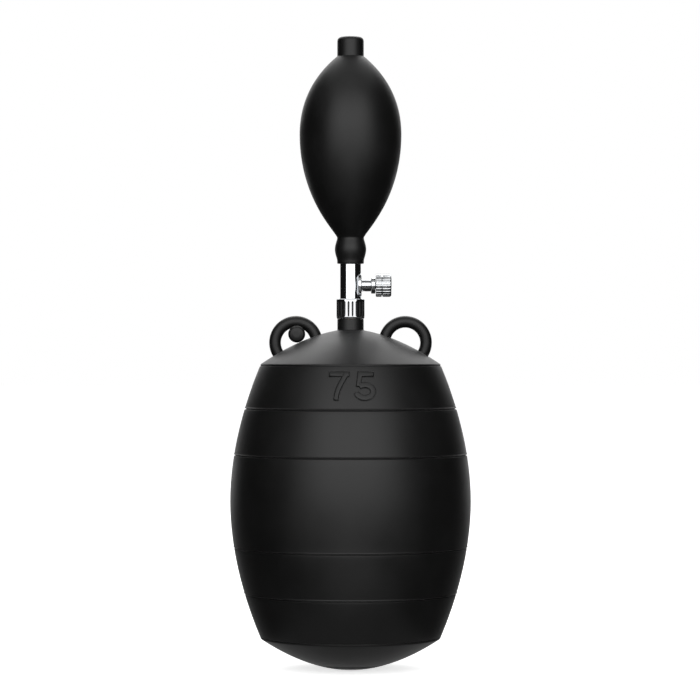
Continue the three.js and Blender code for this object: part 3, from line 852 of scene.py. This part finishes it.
@dataclass
class BleedValve:
    """The side valve: a flanged tube with a vent, a step ring, and a fluted screw that lets the air out."""

    height: float = 64.685
    flange_start: float = 2.3
    flange_end: float = 3.3
    flange_radius: float = 3.6
    shank_radius: float = 1.8
    shank_end: float = 6.1
    tube_end: float = 7.0
    tube_start: float = 1.85
    tube_spigot: float = 1.5
    tube_bore: float = 1.15
    bleed_hole: float = 0.6
    pad_seat: float = 2.35
    vent_place: float = 4.05
    vent_radius: float = 0.5
    vent_low: float = -2.4
    vent_high: float = -0.8
    ring_start: float = 6.15
    ring_end: float = 7.45
    ring_radius: float = 2.48
    ring_bore: float = 1.55
    ring_groove: float = 0.04
    ring_groove_width: float = 0.24
    knob_start: float = 7.55
    knob_end: float = 12.25
    knob_radius: float = 3.45
    knob_rounding: float = 1.05
    dish_share: float = 0.6
    dish_slope: float = 0.02
    dish_depth: float = 0.12
    flutes: int = 24
    flute_radius: float = 0.3
    flute_depth: float = 0.14
    waist: float = 9.45
    waist_width: float = 0.3
    waist_depth: float = 0.4
    nose_radius: float = 0.8
    nose_start: float = 2.95
    nose_end: float = 4.5
    spindle_radius: float = 1.05
    seal_place: float = 5.1
    seal_width: float = 0.55
    seal_root: float = 0.635
    segments: int = 96
    knob_segments: int = 144
    cutter_segments: int = 24

    def _centre(self) -> Vector:
        """Gives the point of the stem's axis that the valve is turned from."""
        return Vector((0, 0, self.height))

    def _tube(self) -> None:
        """Builds and dresses the flanged tube with its vent."""
        shape = turned([
            Corner(self.bleed_hole, self.tube_start, 0.05),
            Corner(self.tube_spigot, self.tube_start, 0.05),
            Corner(self.tube_spigot, self.flange_start, 0.03),
            Corner(self.flange_radius, self.flange_start, 0.12),
            Corner(self.flange_radius, self.flange_end, 0.2),
            Corner(self.shank_radius, self.flange_end, 0.12),
            Corner(self.shank_radius, self.shank_end, 0.08),
            Corner(self.tube_spigot, self.shank_end, 0.03),
            Corner(self.tube_spigot, self.tube_end, 0.05),
            Corner(self.tube_bore, self.tube_end, 0.05),
            Corner(self.tube_bore, self.pad_seat),
            Corner(self.bleed_hole, self.pad_seat),
        ], self.segments, Axis.SIDE, self._centre())
        low, high = self.vent_low, self.vent_high
        vent = turned(plain([(0, low), (self.vent_radius, low), (self.vent_radius, high), (0, high)]),
                      self.cutter_segments, Axis.UP, Vector((self.vent_place, 0, self.height)))
        shape = joined(shape, [vent], Join.CUT)
        add_piece(Role("bleed_tube_flanged", "plug", "chrome", ("bleed_tube",)), shape, CHROME_SIDE)

    def _ring(self) -> None:
        """Builds and dresses the step ring."""
        middle = (self.ring_start + self.ring_end) / 2
        half = self.ring_groove_width / 2
        shape = turned([
            Corner(self.ring_bore, self.ring_start, 0.05),
            Corner(self.ring_radius, self.ring_start, 0.25),
            Corner(self.ring_radius, middle - half, 0.2),
            Corner(self.ring_radius - self.ring_groove, middle, 0.03),
            Corner(self.ring_radius, middle + half, 0.2),
            Corner(self.ring_radius, self.ring_end, 0.25),
            Corner(self.tube_bore, self.ring_end, 0.05),
            Corner(self.tube_bore, self.tube_end + 0.05),
            Corner(self.ring_bore, self.tube_end + 0.05),
        ], self.segments, Axis.SIDE, self._centre())
        add_piece(Role("bleed_ring_turned", "plug", "chrome", ("bleed_ring",)), shape, CHROME_SIDE)

    def _flute_cutters(self) -> BMesh:
        """Builds the round cutters of the knob's flutes.

        Returns:
            All the cutters as one shape.
        """
        cutter = self.flute_radius
        length = self.knob_end - self.knob_start + 1
        shape = bmesh.new()
        bmesh.ops.create_cone(shape, cap_ends=True, segments=self.cutter_segments, radius1=cutter, radius2=cutter,
                              depth=length)
        out = Matrix.Translation((self.knob_radius + cutter - self.flute_depth, 0, 0))
        bmesh.ops.transform(shape, matrix=out, verts=shape.verts)
        step = FULL_TURN / self.flutes
        bmesh.ops.spin(shape, geom=shape.verts[:] + shape.edges[:] + shape.faces[:], cent=(0, 0, 0),
                       axis=(0, 0, 1), angle=FULL_TURN - step, steps=self.flutes - 1, use_duplicate=True)
        middle = Vector(((self.knob_start + self.knob_end) / 2, 0, self.height))
        bmesh.ops.transform(shape, matrix=Matrix.Translation(middle) @ Axis.SIDE.turn(), verts=shape.verts)
        return shape

    def _screw(self) -> None:
        """Builds and dresses the fluted knob with its spindle."""
        seal = self.seal_width / 2
        waist = self.waist_width / 2
        neck = self.knob_radius - self.waist_depth
        dish = self.knob_end - self.dish_depth
        shape = turned([
            Corner(0, self.nose_start),
            Corner(self.nose_radius, self.nose_start, 0.08),
            Corner(self.nose_radius, self.nose_end, 0.03),
            Corner(self.spindle_radius, self.nose_end, 0.05),
            Corner(self.spindle_radius, self.seal_place - seal, 0.03),
            Corner(self.seal_root, self.seal_place - seal, 0.03),
            Corner(self.seal_root, self.seal_place + seal, 0.03),
            Corner(self.spindle_radius, self.seal_place + seal, 0.03),
            Corner(self.spindle_radius, self.knob_start, 0.05),
            Corner(self.knob_radius, self.knob_start, 0.3),
            Corner(self.knob_radius, self.waist - waist, 0.1),
            Corner(neck, self.waist - waist, 0.12),
            Corner(neck, self.waist + waist, 0.12),
            Corner(self.knob_radius, self.waist + waist, 0.1),
            Corner(self.knob_radius, self.knob_end, self.knob_rounding),
            Corner((self.dish_share + self.dish_slope) * self.knob_radius, self.knob_end, 0.1),
            Corner((self.dish_share - self.dish_slope) * self.knob_radius, dish, 0.1),
            Corner(0, dish),
        ], self.knob_segments, Axis.SIDE, self._centre())
        shape = joined(shape, [self._flute_cutters()], Join.CUT)
        add_piece(Role("bleed_screw_fluted", "bleed_knob", "chrome", ("bleed_screw",)), shape, CHROME_SIDE)

    def build(self) -> None:
        """Builds and dresses the valve's three turned pieces."""
        self._tube()
        self._ring()
        self._screw()


@dataclass
class SqueezeBulb:
    """The hand pump: one dipped rubber shell with a neck bead and a tail stub."""

    bottom: float = 71.185
    neck_radius: float = 4.0
    neck_bore: float = 2.85
    bead_start: float = 72.085
    bead_swell: float = 0.7
    bead_power: float = 1.3
    waist: float = 78.885
    equator: float = 109.985
    shoulder: float = 133.385
    top: float = 139.185
    radius: float = 15.27
    wall: float = 2.0
    tail_radius: float = 3.98
    tail_rounding: float = 2.0
    mouth: float = 1.3
    lip: float = 1.2
    pocket: float = 2.35
    neck_pull: float = 0.05
    lower_pull: float = 0.64
    upper_pull: float = 0.47
    tail_pull: float = 0.21
    tail_spread: float = 0.53
    segments: int = 128
    bead_steps: int = 24
    lower_steps: int = 40
    upper_steps: int = 36

    def _belly(self, neck: float, waist: float, radius: float, tail: float, shoulder: float) -> list[Corner]:
        """Gives the two curves that meet at the equator.

        Args:
            neck: radius at the waist.
            waist: height of the waist.
            radius: radius at the equator.
            tail: radius at the shoulder.
            shoulder: height of the shoulder.

        Returns:
            The corners from the waist up to the shoulder.
        """
        lower, upper = self.equator - self.waist, self.shoulder - self.equator
        equator = Corner(radius, self.equator)
        below = bezier(Corner(neck, waist), Corner(neck, waist + self.neck_pull * lower),
                       Corner(radius, self.equator - self.lower_pull * lower), equator, self.lower_steps)
        spread = Corner(tail + self.tail_spread * (radius - tail), shoulder - self.tail_pull * upper)
        above = bezier(equator, Corner(radius, self.equator + self.upper_pull * upper), spread,
                       Corner(tail, shoulder), self.upper_steps)
        return [*below[:-1], *above]

    def build(self) -> None:
        """Builds and dresses the bulb."""
        bead = []
        for step in range(self.bead_steps):
            share = step / self.bead_steps
            swell = self.bead_swell * math.sin(math.pi * share) ** self.bead_power
            bead.append((self.neck_radius + swell, self.bead_start + share * (self.waist - self.bead_start)))
        outside = self._belly(self.neck_radius, self.waist, self.radius, self.tail_radius, self.shoulder)
        inside = self._belly(self.neck_bore, self.waist + self.wall, self.radius - self.wall, self.pocket,
                             self.shoulder - self.wall / 2)
        shape = turned([
            Corner(self.neck_bore, self.bottom, 0.1),
            Corner(self.neck_radius, self.bottom, 0.25),
            *plain(bead),
            *outside[:-1],
            Corner(self.tail_radius, self.shoulder, 0.3),
            Corner(self.tail_radius, self.top, self.tail_rounding),
            Corner(self.mouth, self.top, 0.15),
            Corner(self.mouth, self.top - self.lip, 0.1),
            Corner(self.pocket, self.top - self.lip, 0.1),
            *reversed(inside),
        ], self.segments)
        add_piece(Role("squeeze_bulb_dipped", "plug", "bulb_rubber", ("squeeze_bulb",)), shape, DIPPED_RUBBER)


@dataclass
class InnerParts:
    """The CAD solids that stay as they are, inside the neck and the valves, each with its own finish."""

    finishes: ClassVar[dict[str, Finish]] = {
        "neck_nipple": TURNED_BRASS,
        "coupling_gasket": SEAL_RUBBER,
        "nut_slip_washer": MOULDED_NYLON,
        "outlet_cage": TURNED_BRASS,
        "outlet_ball": GROUND_STEEL,
        "outlet_seat": TURNED_BRASS,
        "outlet_screen": GROUND_STEEL,
        "bleed_o_ring": SEAL_RUBBER,
        "bleed_seal_pad": SEAL_RUBBER,
        "inlet_cage": TURNED_BRASS,
        "inlet_ball": GROUND_STEEL,
        "inlet_seat": TURNED_BRASS,
        "inlet_screen": GROUND_STEEL,
    }

    def build(self) -> None:
        """Dresses every solid that shows as it is."""
        for name, finish in self.finishes.items():
            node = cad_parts[name]
            if not node.material_slots:
                node.data.materials.append(None)
            for slot in node.material_slots:
                slot.material = finish.material()
            log.info("%s: keeps its solid, dressed as %s", name, finish.name)


@dataclass
class Studio:
    """The camera, the soft lights, the cards that only show in reflections and a plain white floor."""

    distance: float = 0.9
    eye_height: float = 0.0453
    eye_across: float = -0.00016
    lens: float = 154.3
    sensor: float = 36.0
    box_place: tuple[float, float, float] = (0.0, -1.2, 0.42)
    box_height: float = 1.5
    box_widths: tuple[float, ...] = (2.86, 1.9, 1.0, 0.6)
    box_watts: tuple[float, ...] = (10.0, 4.0, 13.0, 16.0)
    back_place: tuple[float, float, float] = (0.0, 1.1, 1.25)
    back_size: tuple[float, float] = (1.5, 1.1)
    back_watts: float = 10.0
    ambient: float = 0.45
    floor_size: float = 14.0
    floor_gap: float = 0.00005
    card_across: float = 0.6
    card_near: float = -0.5
    card_far: float = 0.8
    card_height: float = 0.9
    rear_card_far: float = 2.4
    rear_card_low: float = 0.055
    rear_card_high: float = 0.25
    floor_card_near: float = -1.3
    floor_card_far: float = 2.4
    floor_glow_width: float = 0.07
    floor_glow_far: float = 0.03
    top_card_height: float = 1.05
    top_card_near: float = -1.1
    top_card_far: float = -0.05
    side_card: str = "#161616"
    floor_card: str = "#2c2c2c"
    floor_glow_card: str = "#8a8a8a"
    top_card: str = "#a8a8a8"
    paper: str = "#f4f4f4"
    paper_glow: float = 0.68

    def _camera(self) -> None:
        """Sets the camera level, in front of the plug."""
        data = bpy.data.cameras.new("camera")
        data.lens = self.lens
        data.sensor_width = self.sensor
        data.clip_start = 0.01
        camera = bpy.data.objects.new("camera", data)
        camera.location = (self.eye_across, -self.distance, self.eye_height)
        camera.rotation_euler = (math.radians(90), 0, 0)
        bpy.context.scene.collection.objects.link(camera)
        bpy.context.scene.camera = camera

    def _lamp(self, name: str, size: tuple[float, float], watts: float, place: Vector) -> None:
        """Adds a soft light that is aimed at the plug.

        Args:
            name: the light's name.
            size: its width and height in metres.
            watts: its power.
            place: where it hangs.
        """
        data = bpy.data.lights.new(name, "AREA")
        data.shape = "RECTANGLE"
        data.size, data.size_y = size
        data.energy = watts
        lamp = bpy.data.objects.new(name, data)
        lamp.location = place
        aim = Vector((0, 0, self.eye_height)) - place
        lamp.rotation_euler = aim.to_track_quat("-Z", "Y").to_euler()
        bpy.context.scene.collection.objects.link(lamp)

    def _soft_boxes(self) -> None:
        """Adds the wide front light, which is brightest in its middle, and a soft one high at the back."""
        for index, (width, watts) in enumerate(zip(self.box_widths, self.box_watts)):
            self._lamp(f"soft_box_{index}", (width, self.box_height), watts, Vector(self.box_place))
        self._lamp("back_light", self.back_size, self.back_watts, Vector(self.back_place))

    def _seen_or_mirrored(self, tree: bpy.types.NodeTree) -> bpy.types.NodeSocket:
        """Adds the test for rays from the camera, a mirror or glass.

        Args:
            tree: the node tree that it is added to.

        Returns:
            The output that is 1 for such a ray.
        """
        path = add_node(tree, "ShaderNodeLightPath").outputs
        either = add_node(tree, "ShaderNodeMath", {"operation": "MAXIMUM"},
                          links={0: path["Is Camera Ray"], 1: path["Is Glossy Ray"]})
        return add_node(tree, "ShaderNodeMath", {"operation": "MAXIMUM"},
                        links={0: either.outputs[0], 1: path["Is Transmission Ray"]}).outputs[0]

    def _world(self) -> None:
        """Sets a white background that lights the plug only softly."""
        world = bpy.data.worlds.new("studio_air")
        world.use_nodes = True
        tree = world.node_tree
        tree.nodes.clear()
        strength = add_node(tree, "ShaderNodeMapRange", values={"To Min": self.ambient, "To Max": 1.0},
                            links={"Value": self._seen_or_mirrored(tree)}).outputs["Result"]
        air = add_node(tree, "ShaderNodeBackground", values={"Color": linear("#ffffff")},
                       links={"Strength": strength})
        add_node(tree, "ShaderNodeOutputWorld", links={"Surface": air.outputs["Background"]})
        bpy.context.scene.world = world

    def _stage_mesh(self, name: str, size: tuple[float, float], place: Matrix) -> bpy.types.Object:
        """Adds a flat stage piece.

        Args:
            name: the piece's name.
            size: its two sides in metres.
            place: where its middle lies and how it is turned.

        Returns:
            The new piece.
        """
        shape = bmesh.new()
        bmesh.ops.create_grid(shape, x_segments=1, y_segments=1, size=0.5)
        bmesh.ops.scale(shape, vec=(*size, 1), verts=shape.verts)
        bmesh.ops.transform(shape, matrix=place, verts=shape.verts)
        mesh = bpy.data.meshes.new(name)
        shape.to_mesh(mesh)
        shape.free()
        made = bpy.data.objects.new(name, mesh)
        bpy.context.scene.collection.objects.link(made)
        return made

    def _floor(self) -> None:
        """Lays the white paper floor just under the bladder."""
        height = CAD_BOX[0][2] - self.floor_gap
        floor = self._stage_mesh("floor", (self.floor_size, self.floor_size), Matrix.Translation((0, 0, height)))
        paper = bpy.data.materials.new("white_paper")
        paper.use_nodes = True
        tree = paper.node_tree
        tree.nodes.clear()
        glow = add_node(tree, "ShaderNodeMapRange", values={"To Min": 0.0, "To Max": self.paper_glow},
                        links={"Value": self._seen_or_mirrored(tree)}).outputs["Result"]
        shader = add_node(tree, "ShaderNodeBsdfPrincipled",
                          values={"Base Color": linear(self.paper), "Roughness": 0.9,
                                  "Emission Color": linear("#ffffff")},
                          links={"Emission Strength": glow})
        add_node(tree, "ShaderNodeOutputMaterial", links={"Surface": shader.outputs["BSDF"]})
        floor.data.materials.append(paper)

    def _card(self, name: str, colour: str, size: tuple[float, float], place: Matrix) -> None:
        """Adds a card that only shows in reflections.

        Args:
            name: the card's name.
            colour: how bright it shows, as an sRGB hex colour.
            size: its two sides in metres.
            place: where its middle lies and how it is turned.
        """
        paper = bpy.data.materials.new(name)
        paper.use_nodes = True
        tree = paper.node_tree
        tree.nodes.clear()
        glow = add_node(tree, "ShaderNodeEmission", values={"Color": linear(colour), "Strength": 1.0})
        add_node(tree, "ShaderNodeOutputMaterial", links={"Surface": glow.outputs["Emission"]})
        card = self._stage_mesh(name, size, place)
        card.data.materials.append(paper)
        card.visible_camera = False
        card.visible_diffuse = False
        card.visible_transmission = False
        card.visible_shadow = False

    def _cards(self) -> None:
        """Hangs a dark card on each side, lays one on the floor and holds a grey one overhead."""
        low = CAD_BOX[0][2]
        upright = Matrix.Rotation(math.radians(90), 4, "Y")
        for name, near, far, foot, head in (
            ("card", self.card_near, self.card_far, low, low + self.card_height),
            ("card_rear", self.card_far, self.rear_card_far, self.rear_card_low, self.rear_card_high),
        ):
            for side, across in (("left", -self.card_across), ("right", self.card_across)):
                place = Matrix.Translation((across, (near + far) / 2, (foot + head) / 2))
                self._card(f"{name}_{side}", self.side_card, (head - foot, far - near), place @ upright)
        wide = 2 * self.card_across
        for name, colour, width, near, far, height in (
            ("card_floor", self.floor_card, wide, self.floor_card_near, self.floor_card_far, low + MM),
            ("card_glow", self.floor_glow_card, self.floor_glow_width, self.floor_card_near, self.floor_glow_far,
             low + 2 * MM),
            ("card_top", self.top_card, wide, self.top_card_near, self.top_card_far, self.top_card_height),
        ):
            self._card(name, colour, (width, far - near), Matrix.Translation((0, (near + far) / 2, height)))

    def build(self) -> None:
        """Builds the studio."""
        scene = bpy.context.scene
        scene.view_settings.view_transform = "Standard"
        self._camera()
        self._soft_boxes()
        self._world()
        self._floor()
        self._cards()
        log.info("studio: camera, lights, floor and cards")


def main() -> None:
    """Builds every sub-assembly in order, then the studio."""
    logging.basicConfig(level=logging.INFO, format="%(name)s %(message)s")
    bladder = Bladder()
    bladder.build()
    peg_low, peg_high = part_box("eye_peg")
    EyePeg(Vector(((peg_low.x + peg_high.x) / 2, 0, (peg_low.z + peg_high.z) / 2)) / MM).build()
    CouplingNut().build()
    Stem().build()
    BleedValve().build()
    SqueezeBulb().build()
    InnerParts().build()
    Studio().build()


if __name__ == "__main__":
    main()
